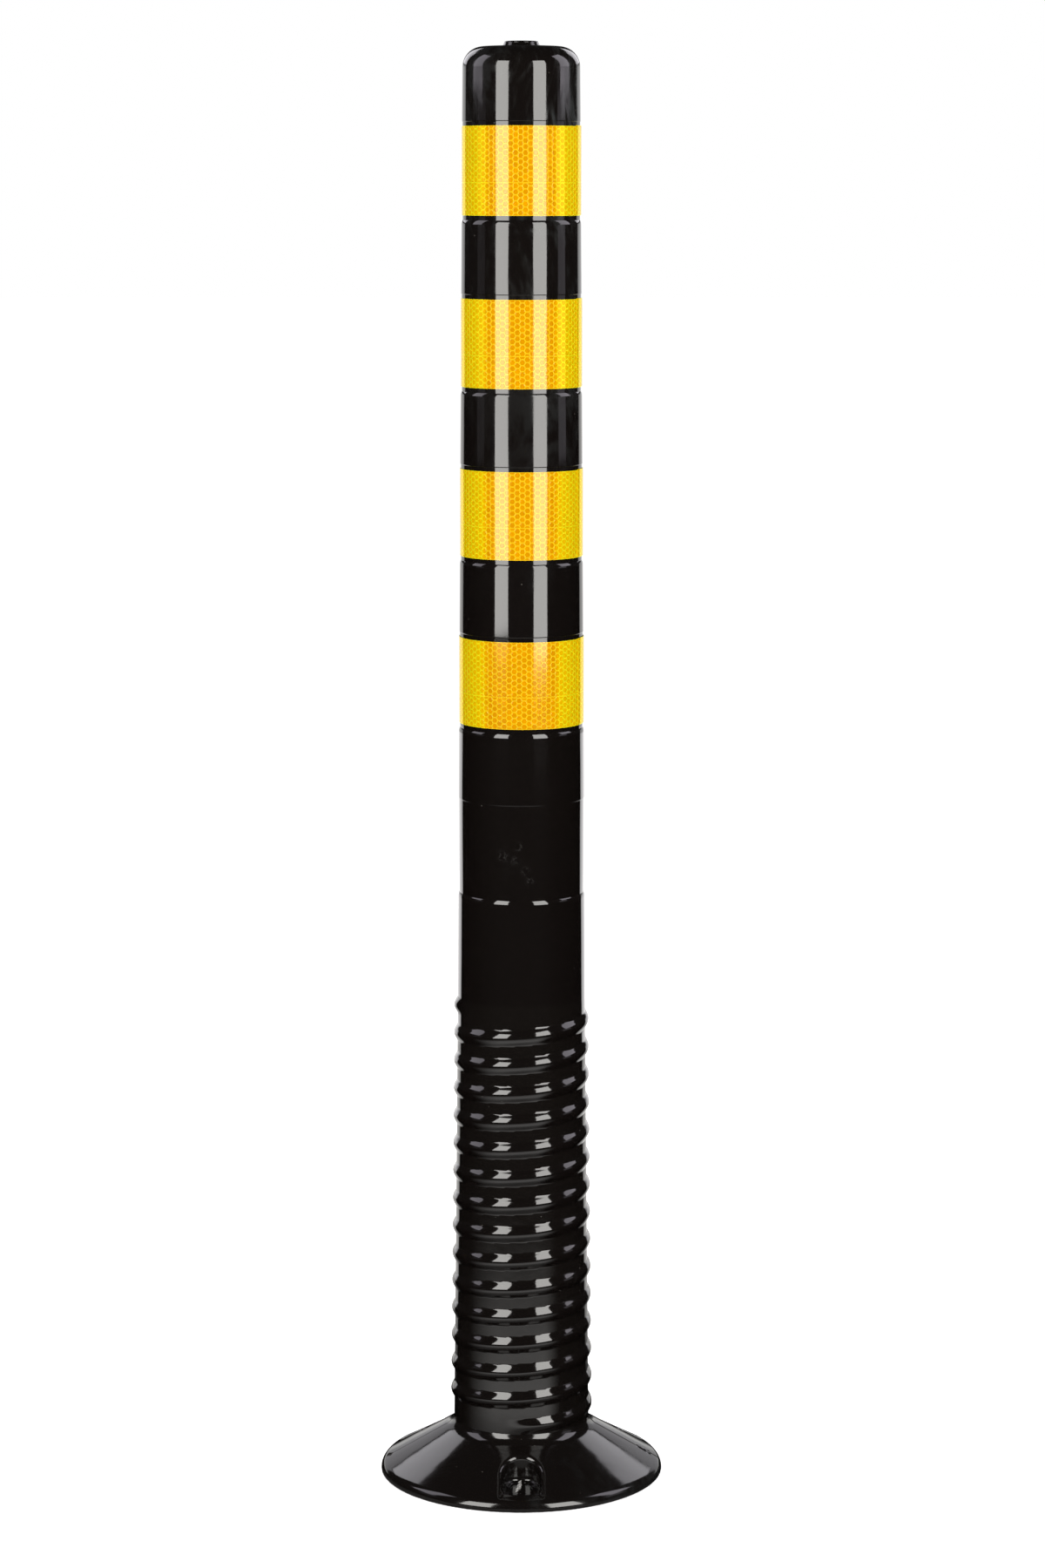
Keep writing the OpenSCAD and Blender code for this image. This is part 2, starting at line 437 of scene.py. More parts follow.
def specks_group():
    """Scattered specks of dust."""
    tree, n, i, o = new_group(
        "Dust specks",
        "ShaderNodeTree",
        [
            ("Place", "Vector", None), ("Count", "Float", 220.0), ("Size", "Float", 0.09),
            ("Share", "Float", 0.05),
        ],
        [("Mask", "Float")],
    )
    cell = n.add("ShaderNodeTexVoronoi", {"Vector": i["Place"], "Scale": i["Count"]}).outputs
    is_speck = n.math("LESS_THAN", cell["Distance"], i["Size"])
    is_kept = n.math("LESS_THAN", n.parts(cell["Color"])[0], i["Share"])
    n.put(o["Mask"], n.math("MULTIPLY", is_speck, is_kept))
    return tree


WAVES = waves_group()
SMEARS = smears_group()
SCRATCHES = scratches_group()
SPECKS = specks_group()


def new_material(name):
    """A material with its shader, its node calls and its Object coordinates."""
    material = bpy.data.materials.new(name)
    material.use_nodes = True
    nodes = Tree(material.node_tree)
    shader = next(n for n in material.node_tree.nodes if n.type == "BSDF_PRINCIPLED")
    place = nodes.add("ShaderNodeTexCoord").outputs["Object"]
    return material, nodes, shader.inputs, place


def use_group(nodes, tree, place, **values):
    node = nodes.add("ShaderNodeGroup", node_tree=tree)
    nodes.put(node.inputs["Place"], place)
    for label, value in values.items():
        nodes.put(node.inputs[label.replace("_", " ")], value)
    return node.outputs


def mix(nodes, share, first, second):
    node = nodes.add("ShaderNodeMix", data_type="RGBA")
    nodes.put(node.inputs[0], share)
    nodes.put(node.inputs[6], first)
    nodes.put(node.inputs[7], second)
    return node.outputs[2]


RUBBER_BLACK = (0.0040, 0.0031, 0.0028, 1)
WARM_BLOOM = (0.0075, 0.0048, 0.0032, 1)
COOL_BLOOM = (0.0085, 0.0088, 0.0088, 1)
HANDLED_BLOOM = (0.020, 0.022, 0.022, 1)
VALLEY_DUST = (0.0075, 0.0066, 0.0056, 1)
WORN_CREST = (0.012, 0.0105, 0.009, 1)
SCRATCH_GREY = (0.05, 0.048, 0.046, 1)
SPECK_GREY = (0.10, 0.095, 0.085, 1)
RUBBED_GREY = (0.022, 0.021, 0.020, 1)
RUBBER_IOR = 1.52


def rubber(name, gloss, wave, smear, cover, dust, across=60.0, along=14.0, crest=None, handled=None, scuffs=()):
    """Glossy near-black moulded rubber, with wiped smears, hair scratches and dust.

    handled is (axis, from, to, share), the stretch over which wiped smears grow.
    scuffs holds (centre, radius) of rubbed spots.
    """
    material, nodes, sockets, place = new_material(name)
    smears = use_group(nodes, SMEARS, place, Cover=cover)
    scratches = use_group(nodes, SCRATCHES, place)["Mask"]
    specks = use_group(nodes, SPECKS, place)["Mask"]
    waves = use_group(nodes, WAVES, place, Across=across, Along=along)["Height"]
    haze = nodes.math("MULTIPLY", smears["Mask"], smear)
    if handled:
        axis, none, full, most = handled
        wiped = use_group(nodes, SMEARS, place, Cover=1.0, Size=55.0, Swirl=3.0)["Mask"]
        grip = nodes.product(
            nodes.span(wiped, 0.05, 0.6),
            nodes.span(nodes.parts(place)[axis], none, full, 0.0, most),
            nodes.span(nodes.parts(place)[0], -0.02, 0.02, 0.35, 1.0),
        )
        haze = nodes.math("MAXIMUM", haze, grip)
    black = mix(nodes, haze, RUBBER_BLACK, mix(nodes, smears["Tone"], WARM_BLOOM, COOL_BLOOM))
    if handled:
        black = mix(nodes, grip, black, HANDLED_BLOOM)
    if crest:
        height = nodes.add("ShaderNodeAttribute", attribute_name=crest).outputs["Fac"]
        black = mix(nodes, nodes.math("MULTIPLY", nodes.span(height, 0.25, 0.0), dust), black, VALLEY_DUST)
        black = mix(nodes, nodes.math("MULTIPLY", nodes.span(height, 0.9, 1.0), haze), black, WORN_CREST)
    black = mix(nodes, nodes.math("MULTIPLY", scratches, 0.35), black, SCRATCH_GREY)
    black = mix(nodes, nodes.math("MULTIPLY", specks, 0.6), black, SPECK_GREY)
    for centre, radius in scuffs:
        away = nodes.add("ShaderNodeVectorMath", {0: place, 1: centre}, operation="DISTANCE").outputs["Value"]
        fray = nodes.math("ABSOLUTE", nodes.math("SUBTRACT", nodes.noise(place, 170.0, 4.0, 0.7), 0.5))
        fibre = nodes.span(fray, 0.0, 0.03, 1.0, 0.0)
        rub = nodes.math("MULTIPLY", fibre, nodes.span(away, radius * 0.3, radius, 1.0, 0.0))
        black = mix(nodes, rub, black, RUBBED_GREY)
    nodes.put(sockets["Base Color"], black)
    rough = nodes.math("MULTIPLY_ADD", haze, 0.16, gloss)
    nodes.put(sockets["Roughness"], nodes.math("MULTIPLY_ADD", scratches, 0.12, rough, clamp=True))
    sockets["IOR"].default_value = RUBBER_IOR
    bump = nodes.add("ShaderNodeBump", {"Height": waves, "Strength": 1.0, "Distance": wave})
    nodes.put(sockets["Normal"], bump.outputs[0])
    return material


SCUFFS = (
    # centre, radius
    ((-0.0130, -0.0420, 0.4500), 0.0060),
    ((-0.0020, -0.0437, 0.4570), 0.0045),
    ((0.0030, -0.0440, 0.4400), 0.0050),
    ((-0.0040, -0.0440, 0.4470), 0.0050),
    ((0.0060, -0.0437, 0.4330), 0.0045),
)
HANDLED_TOP = (2, 0.60, 0.975, 1.0)
HANDLED_RIM = (0, 0.03, 0.08, 0.3)
TUBE_RUBBER = rubber("moulded_rubber_tube", 0.06, 0.00016, 0.6, 0.5, 0.3, handled=HANDLED_TOP, scuffs=SCUFFS)
RIB_RUBBER = rubber("moulded_rubber_ribs", 0.07, 0.00005, 0.7, 0.5, 0.25, 90.0, 60.0, "rib_crest")
BASE_RUBBER = rubber("moulded_rubber_base", 0.10, 0.00025, 0.8, 0.6, 0.4, 45.0, 45.0, handled=HANDLED_RIM)
PLUG_RUBBER = rubber("moulded_plug", 0.16, 0.00008, 0.5, 0.5, 0.4, 160.0, 160.0)

FILM_IOR = 1.58
FILM_TINT = (0.85, 0.88, 0.55, 1)


def film(name, deep, light, painted_sheen_colour, mirror, clear, seed):
    """Reflective film under a clear face: a deep colour that turns to a bright mirror at a slant, where its
    base colour also turns to a painted sheen.
    """
    material, nodes, sockets, place = new_material(name)
    tone = nodes.add("ShaderNodeAttribute", attribute_name="cell_tone").outputs["Fac"]
    cloud = nodes.noise(place, 60.0 + seed, 3.0)
    shade_of = nodes.math("MULTIPLY_ADD", tone, 0.7, nodes.math("MULTIPLY", cloud, 0.3))
    slant = nodes.add("ShaderNodeLayerWeight", {"Blend": 0.5}).outputs["Facing"]
    # painted sheen: by the viewing slant the base colour is mixed towards the bright colour, as well as turning
    # partly metallic
    sheen = nodes.span(slant, 0.15, 0.27)
    plain = mix(nodes, nodes.span(shade_of, 0.2, 0.8), deep, light)
    nodes.put(sockets["Base Color"], mix(nodes, sheen, plain, painted_sheen_colour))
    nodes.put(sockets["Metallic"], nodes.math("MULTIPLY", sheen, mirror))
    haze = use_group(nodes, SMEARS, place, Cover=0.4, Size=40.0)["Mask"]
    scratches = use_group(nodes, SCRATCHES, place, Amount=0.6)["Mask"]
    rough = nodes.math("MULTIPLY_ADD", haze, 0.06, clear)
    nodes.put(sockets["Roughness"], nodes.math("MULTIPLY_ADD", scratches, 0.1, rough))
    waves = use_group(nodes, WAVES, place, Across=140.0, Along=80.0)["Height"]
    bump = nodes.add("ShaderNodeBump", {"Height": waves, "Strength": 1.0, "Distance": 0.00003})
    nodes.put(sockets["Normal"], bump.outputs[0])
    sockets["IOR"].default_value = FILM_IOR
    sockets["Specular Tint"].default_value = FILM_TINT
    return material


# the third colour of each film is its painted sheen, the bright base colour it turns to at a slant
CELL_FILM = film(
    "reflective_cells", (0.50, 0.207, 0.0, 1), (0.56, 0.236, 0.0, 1), (1.0, 0.60, 0.001, 1), 0.4, 0.09, 0.0
)
WALL_FILM = film(
    "reflective_walls", (0.60, 0.38, 0.006, 1), (0.68, 0.43, 0.008, 1), (1.0, 0.90, 0.010, 1), 0.4, 0.08, 5.0
)

# ---------------------------------------------------------------- ribbed flex zone

UNEVEN_REACH = 0.045
PLAIN_END = 0.01


def rib_tree():
    """Geometry tree of one ribbed sleeve: a closed ring between two heights."""
    tree, n, i, o = new_group(
        "Ribbed sleeve",
        "GeometryNodeTree",
        [
            ("Low", "Float", 0.0), ("High", "Float", 0.1), ("Rows", "Int", 20), ("Columns", "Int", 160),
            ("Foot height", "Float", 0.0), ("Zone height", "Float", 0.3),
            ("Foot radius", "Float", 0.05), ("Top radius", "Float", 0.045),
            ("Foot bore", "Float", 0.04), ("Top bore", "Float", 0.04),
            ("Rib pitch", "Float", 0.02), ("Rib height", "Float", 0.002), ("Rib width", "Float", 0.012),
            ("Rib roundness", "Float", 1.2), ("Rib start", "Float", 0.004), ("Rib turns", "Float", 14.0),
            ("Start turn", "Float", 0.7), ("Lead in", "Float", 0.13), ("Run out", "Float", 0.08),
            ("Unevenness", "Float", 0.0001), ("Rubber", "Material", None),
        ],
        [("Geometry", "Geometry")],
    )
    wall, w, wi, wo = new_group(
        "Ribbed wall",
        "GeometryNodeTree",
        [("Turn", "Float", 0.0), ("Height", "Float", 0.0)] + [
            (s.name, "Float", s.default_value)
            for s in tree.interface.items_tree
            if s.in_out == "INPUT" and s.socket_type == "NodeSocketFloat" and s.name not in ("Low", "High")
        ],
        [("Radius", "Float"), ("Crest", "Float")],
    )
    up = w.math("SUBTRACT", wi["Height"], wi["Foot height"])
    at_height = w.math("DIVIDE", w.math("SUBTRACT", up, wi["Rib start"]), wi["Rib pitch"])
    from_start = w.math("SUBTRACT", wi["Turn"], wi["Start turn"])
    along = w.math("ADD", from_start, w.math("ROUND", w.math("SUBTRACT", at_height, from_start)))
    off = w.math("MULTIPLY", w.math("SUBTRACT", at_height, along), wi["Rib pitch"])
    rise = w.math("DIVIDE", along, wi["Lead in"])
    sink = w.math("DIVIDE", w.math("SUBTRACT", wi["Rib turns"], along), wi["Run out"])
    fade = w.span(w.math("MINIMUM", rise, sink), 0.0, 1.0)
    share = w.math("MINIMUM", w.math("DIVIDE", w.math("ABSOLUTE", off), wi["Rib width"]), 0.5)
    hump = w.math("MAXIMUM", w.math("COSINE", w.math("MULTIPLY", share, math.pi)), 0.0)
    crest = w.math("MULTIPLY", fade, w.math("POWER", hump, wi["Rib roundness"]))
    part_up = w.math("DIVIDE", up, wi["Zone height"])
    widening = w.math("SUBTRACT", wi["Top radius"], wi["Foot radius"])
    root = w.math("MULTIPLY_ADD", part_up, widening, wi["Foot radius"])
    angle = w.math("MULTIPLY", wi["Turn"], math.tau)
    place = w.xyz(
        w.math("MULTIPLY", w.math("COSINE", angle), UNEVEN_REACH),
        w.math("MULTIPLY", w.math("SINE", angle), UNEVEN_REACH),
        wi["Height"],
    )
    uneven = w.math("SUBTRACT", w.noise(place, 55.0, 2.0), 0.5)
    from_top = w.math("SUBTRACT", wi["Zone height"], up)
    ends = w.math("MULTIPLY", w.span(up, 0.0, PLAIN_END), w.span(from_top, 0.0, PLAIN_END))
    waver = w.product(uneven, ends, wi["Unevenness"])
    w.put(wo["Radius"], w.math("ADD", w.math("MULTIPLY_ADD", crest, wi["Rib height"], root), waver))
    w.put(wo["Crest"], crest)

    rows, columns = i["Rows"], i["Columns"]
    loop_rows = n.math("ADD", rows, 3.0)
    grid = n.add(
        "GeometryNodeMeshGrid",
        {
            "Size X": columns, "Size Y": loop_rows,
            "Vertices X": n.math("ADD", columns, 1.0), "Vertices Y": n.math("ADD", loop_rows, 1.0),
        },
    ).outputs[0]
    at = n.parts(n.add("GeometryNodeInputPosition").outputs[0])
    column = n.math("ROUND", n.math("MULTIPLY_ADD", columns, 0.5, at[0]))
    row = n.math("ROUND", n.math("MULTIPLY_ADD", loop_rows, 0.5, at[1]))
    turn = n.math("DIVIDE", column, columns)
    past = n.math("SUBTRACT", row, rows)
    is_inner = n.math("MULTIPLY", n.math("GREATER_THAN", past, 0.5), n.math("LESS_THAN", past, 2.5))
    is_low = n.math("GREATER_THAN", past, 1.5)
    climbed = n.math("MINIMUM", n.math("DIVIDE", row, rows), 1.0)
    level = n.math("MULTIPLY", climbed, n.math("SUBTRACT", 1.0, is_low))
    height = n.math("MULTIPLY_ADD", level, n.math("SUBTRACT", i["High"], i["Low"]), i["Low"])

    def wall_at(a, z):
        node = n.add("GeometryNodeGroup", node_tree=wall)
        for socket in node.inputs:
            n.put(socket, {"Turn": a, "Height": z}.get(socket.name) or i[socket.name])
        return node.outputs

    around, upward = 1e-4, 2e-5
    here = wall_at(turn, height)
    aside = wall_at(n.math("ADD", turn, around), height)["Radius"]
    above = wall_at(turn, n.math("ADD", height, upward))["Radius"]
    part_up = n.math("DIVIDE", n.math("SUBTRACT", height, i["Foot height"]), i["Zone height"])
    bore = n.math("MULTIPLY_ADD", part_up, n.math("SUBTRACT", i["Top bore"], i["Foot bore"]), i["Foot bore"])
    outside = n.math("MULTIPLY", here["Radius"], n.math("SUBTRACT", 1.0, is_inner))
    radius = n.math("MULTIPLY_ADD", bore, is_inner, outside)
    angle = n.math("MULTIPLY", turn, math.tau)
    cosine, sine = n.math("COSINE", angle), n.math("SINE", angle)
    slope = n.math("DIVIDE", n.math("SUBTRACT", above, here["Radius"]), upward)
    lean = n.math("DIVIDE", n.math("SUBTRACT", aside, here["Radius"]), around * math.tau)
    lean = n.math("DIVIDE", lean, here["Radius"])
    outward = n.xyz(
        n.math("MULTIPLY_ADD", lean, sine, cosine),
        n.math("SUBTRACT", sine, n.math("MULTIPLY", lean, cosine)),
        n.math("MULTIPLY", slope, -1.0),
    )
    stored = grid
    for label, form, value in (
        ("outward", "FLOAT_VECTOR", outward),
        ("rib_crest", "FLOAT", here["Crest"]),
        ("inner", "FLOAT", is_inner),
    ):
        inputs = {"Geometry": stored, "Name": label, "Value": value}
        stored = n.add("GeometryNodeStoreNamedAttribute", inputs, data_type=form).outputs[0]
    place = n.xyz(n.math("MULTIPLY", radius, cosine), n.math("MULTIPLY", radius, sine), height)
    placed = n.add("GeometryNodeSetPosition", {"Geometry": stored, "Position": place}).outputs[0]
    closed = n.add("GeometryNodeMergeByDistance", {"Geometry": placed, "Distance": SAME_PLACE}).outputs[0]
    real = n.add("GeometryNodeRealizeInstances", {"Geometry": closed}).outputs[0]
    clad = n.add("GeometryNodeSetMaterial", {"Geometry": real, "Material": i["Rubber"]}).outputs[0]
    n.put(o["Geometry"], clad)
    return tree


RIB_TREE = rib_tree()
ROW_H = 0.0008
RIB_COLUMNS = 160
RIB_UNEVENNESS = 0.00014


def ribbed_sleeve(name, low, high):
    """One sleeve of the ribbed zone. Its outer normals are exact, so no seam shows."""
    sleeve = run_tree(name, RIB_TREE, {
        "Low": low, "High": high, "Rows": round((high - low) / ROW_H), "Columns": RIB_COLUMNS,
        "Foot height": NECK_Z, "Zone height": FLEX_H, "Foot radius": NECK_R, "Top radius": body_r(FLEX_TOP),
        "Foot bore": core_r(NECK_Z), "Top bore": core_r(FLEX_TOP),
        "Rib pitch": RIB_PITCH, "Rib height": RIB_H, "Rib width": RIB_W, "Rib roundness": RIB_ROUND,
        "Rib start": RIB_START, "Rib turns": (FLEX_H - RIB_START - RIB_END) / RIB_PITCH,
        "Start turn": RIB_ANGLE / 360, "Lead in": LEAD_IN / 360, "Run out": RUN_OUT / 360,
        "Unevenness": RIB_UNEVENNESS, "Rubber": RIB_RUBBER,
    })
    mesh = sleeve.data
    count = len(mesh.vertices)
    places = vectors_of(mesh.vertices, count, "co")
    outward = vectors_of(mesh.attributes["outward"].data, count, "vector")
    outward /= np.linalg.norm(outward, axis=1)[:, None]
    inner = np.zeros(count)
    mesh.attributes["inner"].data.foreach_get("value", inner)
    corners, owner = corners_of(mesh)
    inner_share = (np.bincount(owner, inner[corners]) / np.bincount(owner))[owner]
    normals = outward[corners]
    inward = places * (-1, -1, 0)
    inward /= np.linalg.norm(inward, axis=1)[:, None]
    in_bore = inner_share > 0.9
    normals[in_bore] = inward[corners][in_bore]
    at_end = (inner_share > 0.1) & (inner_share < 0.9)
    at_top = places[corners][at_end, 2] > (low + high) / 2
    normals[at_end] = np.where(at_top[:, None], (0, 0, 1), (0, 0, -1))
    for label in ("outward", "inner"):
        mesh.attributes.remove(mesh.attributes[label])
    shade(mesh, normals)
    return sleeve


levels = [NECK_Z] + [NECK_Z + (k + 0.5) * SECTION_H for k in range(SECTION_COUNT)] + [FLEX_TOP]
for k in range(SECTION_COUNT + 1):
    low, high = levels[k], levels[k + 1]
    sleeve = ribbed_sleeve(f"ribbed_sleeve_{k + 1}", low, high)
    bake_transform(sleeve)
    if k < SECTION_COUNT:
        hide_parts(f"flex_section_{k + 1}")

# ---------------------------------------------------------------- tube


def recess_top(k):
    return POST_H - TOP_LAND - k * (RECESS_H + LAND_H)


def floor_r(k):
    return body_r(recess_top(k)) - RECESS_DEPTH


def tube_runs():
    corner_x, corner_z = TOP_D / 2 - TOP_ROUND, POST_H - TOP_FALL - TOP_ROUND
    hole_r = STEM_D / 2 + STEM_GAP
    seat_r = PLUG_D / 2 + 0.001
    runs = [
        line(hole_r, POST_H, seat_r, POST_H),
        line(seat_r, POST_H, corner_x, corner_z + TOP_ROUND, 4),
        arc(corner_x, corner_z, TOP_ROUND, math.pi / 2, 0, 24),
    ]
    for k in range(RECESS_COUNT):
        high = recess_top(k)
        low = high - RECESS_H
        edge = math.acos(1 - RECESS_DEPTH / LAND_EDGE_R)
        turn = math.acos(1 - (body_r(low) - floor_r(k)) / SHOULDER_R)
        above = arc(body_r(high) - LAND_EDGE_R, high + LAND_EDGE_R * math.sin(edge), LAND_EDGE_R, 0, -edge, 6)
        below = arc(body_r(low) - SHOULDER_R, low - SHOULDER_R * math.sin(turn), SHOULDER_R, turn, 0, 14)
        start = runs[-1][-1]
        runs += [line(start[0], start[1], above[0][0], above[0][1], 4), above]
        runs += [line(above[-1][0], above[-1][1], below[0][0], below[0][1]), below]
    start = runs[-1][-1]
    runs += [
        line(start[0], start[1], body_r(FLEX_TOP), FLEX_TOP, 4),
        line(body_r(FLEX_TOP), FLEX_TOP, core_r(FLEX_TOP), FLEX_TOP),
        line(core_r(FLEX_TOP), FLEX_TOP, core_r(corner_z), corner_z, 6),
        line(core_r(corner_z), corner_z, corner_x, POST_H - TOP_T),
        line(corner_x, POST_H - TOP_T, hole_r, POST_H - TOP_T),
        line(hole_r, POST_H - TOP_T, hole_r, POST_H),
    ]
    return runs


tube = lathe("tube", tube_runs(), 192, TUBE_RUBBER)
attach(tube, "post")
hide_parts("post_tube")

# ---------------------------------------------------------------- top plug


def plug_runs():
    foot, stem, under = PLUG_D / 2, STEM_D / 2, POST_H - TOP_T
    crown = foot - PLUG_LEAN
    top = POST_H + PLUG_H
    side_x, side_z = crown - PLUG_LEAN, top - PLUG_LEAN
    dish_r = stem / 2
    return [
        line(0, top - PLUG_DISH, dish_r, top - PLUG_DISH),
        line(dish_r, top - PLUG_DISH, side_x, top, 3),
        arc(side_x, side_z, PLUG_LEAN, math.pi / 2, 0, 8),
        line(crown, side_z, foot, POST_H),
        line(foot, POST_H, stem, POST_H),
        line(stem, POST_H, stem, under - STEM_GAP),
        line(stem, under - STEM_GAP, stem + BARB, under - STEM_GAP),
        line(stem + BARB, under - STEM_GAP, stem - BARB, under - BARB_LEN),
        line(stem - BARB, under - BARB_LEN, 0, under - BARB_LEN),
    ]


plug = lathe("plug", plug_runs(), 96, PLUG_RUBBER)
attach(plug, "post")
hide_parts("top_plug")

# ---------------------------------------------------------------- reflective bands

CELL_PITCH = 0.0040
CELL_WALL = 0.0008
CELL_LIFT = 0.00003
TILE_H = 0.038
LAP_RAMP = 0.003
LAP_STEP = 0.0005
CELL_CROWN = 0.93
THINNEST_CELL = 0.0003
CELL_WELD = 1e-6
FILM_STEPS = 260
WRAP_INPUTS = [
    ("Radius", "Float", 0.04), ("Film thickness", "Float", 0.0004), ("Lap length", "Float", 0.014),
    ("Lap ramp", "Float", 0.003), ("Lap step", "Float", 0.0005), ("Start angle", "Float", 0.0),
    ("Low", "Float", 0.0),
]


def wrap_tree():
    """Node group that lays a flat point on a band: X runs round it from the lap's visible end."""
    tree, n, i, o = new_group(
        "Wrap on band",
        "GeometryNodeTree",
        [("Geometry", "Geometry", None)] + WRAP_INPUTS,
        [("Geometry", "Geometry")],
    )
    at = n.parts(n.add("GeometryNodeInputPosition").outputs[0])
    end = n.math("ADD", i["Lap length"], i["Lap ramp"])
    over = n.span(at[0], i["Lap length"], end, 1.0, 0.0)
    radius = n.math("ADD", n.math("MULTIPLY_ADD", over, i["Film thickness"], i["Radius"]), at[2])
    turn = n.math("DIVIDE", at[0], i["Radius"])
    angle = n.math("ADD", i["Start angle"], turn)
    drop = n.math("MULTIPLY", n.math("SUBTRACT", 1.0, n.math("DIVIDE", turn, math.tau)), i["Lap step"])
    height = n.math("ADD", n.math("ADD", at[1], i["Low"]), n.math("MAXIMUM", drop, 0.0))
    outward = n.xyz(n.math("COSINE", angle), n.math("SINE", angle), 0.0)
    stored = n.add(
        "GeometryNodeStoreNamedAttribute", {"Geometry": i["Geometry"], "Name": "outward", "Value": outward},
        data_type="FLOAT_VECTOR",
    ).outputs[0]
    place = n.xyz(
        n.math("MULTIPLY", radius, n.math("COSINE", angle)),
        n.math("MULTIPLY", radius, n.math("SINE", angle)),
        height,
    )
    n.put(o["Geometry"], n.add("GeometryNodeSetPosition", {"Geometry": stored, "Position": place}).outputs[0])
    return tree


WRAP = wrap_tree()


def wrap(nodes, inputs, flat):
    node = nodes.add("GeometryNodeGroup", node_tree=WRAP)
    for socket in node.inputs:
        nodes.put(socket, flat if socket.name == "Geometry" else inputs[socket.name])
    return node.outputs[0]


def cell_tree():
    """Geometry tree of a band's cells: rows of raised six-sided pads, cut off at the tile's edges."""
    tree, n, i, o = new_group(
        "Band cells",
        "GeometryNodeTree",
        WRAP_INPUTS + [
            ("Columns", "Int", 74), ("Rows", "Int", 10),
            ("Tile low", "Float", 0.0), ("Tile high", "Float", 0.04),
            ("Pitch", "Float", 0.004), ("Wall", "Float", 0.001), ("Lift", "Float", 0.00003),
            ("Film", "Material", None),
        ],
        [("Geometry", "Geometry")],
    )
    length = n.math("MULTIPLY", i["Radius"], math.tau)
    step = n.math("DIVIDE", length, i["Columns"])
    last_row = n.math("SUBTRACT", i["Rows"], 1.0)
    grid = n.add(
        "GeometryNodeMeshGrid",
        {
            "Size X": n.math("SUBTRACT", length, step), "Size Y": n.math("MULTIPLY", last_row, i["Pitch"]),
            "Vertices X": i["Columns"], "Vertices Y": i["Rows"],
        },
    ).outputs[0]
    at = n.parts(n.add("GeometryNodeInputPosition").outputs[0])
    across = n.math("MULTIPLY_ADD", length, 0.5, at[0])
    column = n.math("ROUND", n.math("SUBTRACT", n.math("DIVIDE", across, step), 0.5))
    odd = n.math("MODULO", column, 2.0)
    half_rows = n.product(last_row, 0.5, i["Pitch"])
    top_down = n.math("SUBTRACT", half_rows, at[1])
    stagger = n.product(odd, 0.5, i["Pitch"])
    height = n.math("SUBTRACT", n.math("SUBTRACT", i["Tile high"], top_down), stagger)
    spots = {"Geometry": grid, "Position": n.xyz(across, height, 0.0)}
    dots = n.add("GeometryNodeSetPosition", spots).outputs[0]
    flat_half = n.math("MULTIPLY", n.math("SUBTRACT", i["Pitch"], i["Wall"]), 0.5)
    corner_r = n.math("DIVIDE", flat_half, math.cos(math.pi / 6))
    six_sided = {"Vertices": 6, "Radius": corner_r}
    pad = n.add("GeometryNodeMeshCircle", six_sided, fill_type="TRIANGLE_FAN").outputs[0]
    raised = n.add(
        "GeometryNodeExtrudeMesh",
        {"Mesh": pad, "Offset": n.xyz(0.0, 0.0, i["Lift"]), "Offset Scale": 1.0, "Individual": False},
        mode="FACES",
    )
    crown = {"Geometry": raised.outputs["Mesh"], "Selection": raised.outputs["Top"], "Scale": CELL_CROWN}
    slim = n.add("GeometryNodeScaleElements", crown).outputs[0]
    under = n.add("GeometryNodeFlipFaces", {"Mesh": pad}).outputs[0]
    join = n.add("GeometryNodeJoinGeometry")
    n.put(join.inputs[0], slim)
    n.put(join.inputs[0], under)
    weld = {"Geometry": join.outputs[0], "Distance": CELL_WELD}
    closed = n.add("GeometryNodeMergeByDistance", weld).outputs[0]
    low_edge = n.math("ADD", i["Tile low"], n.math("MULTIPLY", i["Wall"], 0.5))
    high_edge = n.math("SUBTRACT", i["Tile high"], n.math("MULTIPLY", i["Wall"], 0.3))
    spot = n.parts(n.add("GeometryNodeInputPosition").outputs[0])[1]
    shown = n.math(
        "MULTIPLY",
        n.math("GREATER_THAN", n.math("ADD", spot, flat_half), n.math("ADD", low_edge, THINNEST_CELL)),
        n.math("LESS_THAN", n.math("SUBTRACT", spot, flat_half), n.math("SUBTRACT", high_edge, THINNEST_CELL)),
    )
    spread = {"Points": dots, "Selection": shown, "Instance": closed}
    set_out = n.add("GeometryNodeInstanceOnPoints", spread).outputs[0]
    chance = n.add("FunctionNodeRandomValue", {"Seed": 7}, data_type="FLOAT").outputs[1]
    toned = n.add(
        "GeometryNodeStoreNamedAttribute", {"Geometry": set_out, "Name": "cell_tone", "Value": chance},
        data_type="FLOAT", domain="INSTANCE",
    ).outputs[0]
    real = n.add("GeometryNodeRealizeInstances", {"Geometry": toned}).outputs[0]
    p = n.parts(n.add("GeometryNodeInputPosition").outputs[0])
    held = n.math("MINIMUM", n.math("MAXIMUM", p[1], low_edge), high_edge)
    cut = n.add("GeometryNodeSetPosition", {"Geometry": real, "Position": n.xyz(p[0], held, p[2])}).outputs[0]
    wrapped = wrap(n, i, cut)
    clad = n.add("GeometryNodeSetMaterial", {"Geometry": wrapped, "Material": i["Film"]}).outputs[0]
    n.put(o["Geometry"], clad)
    return tree


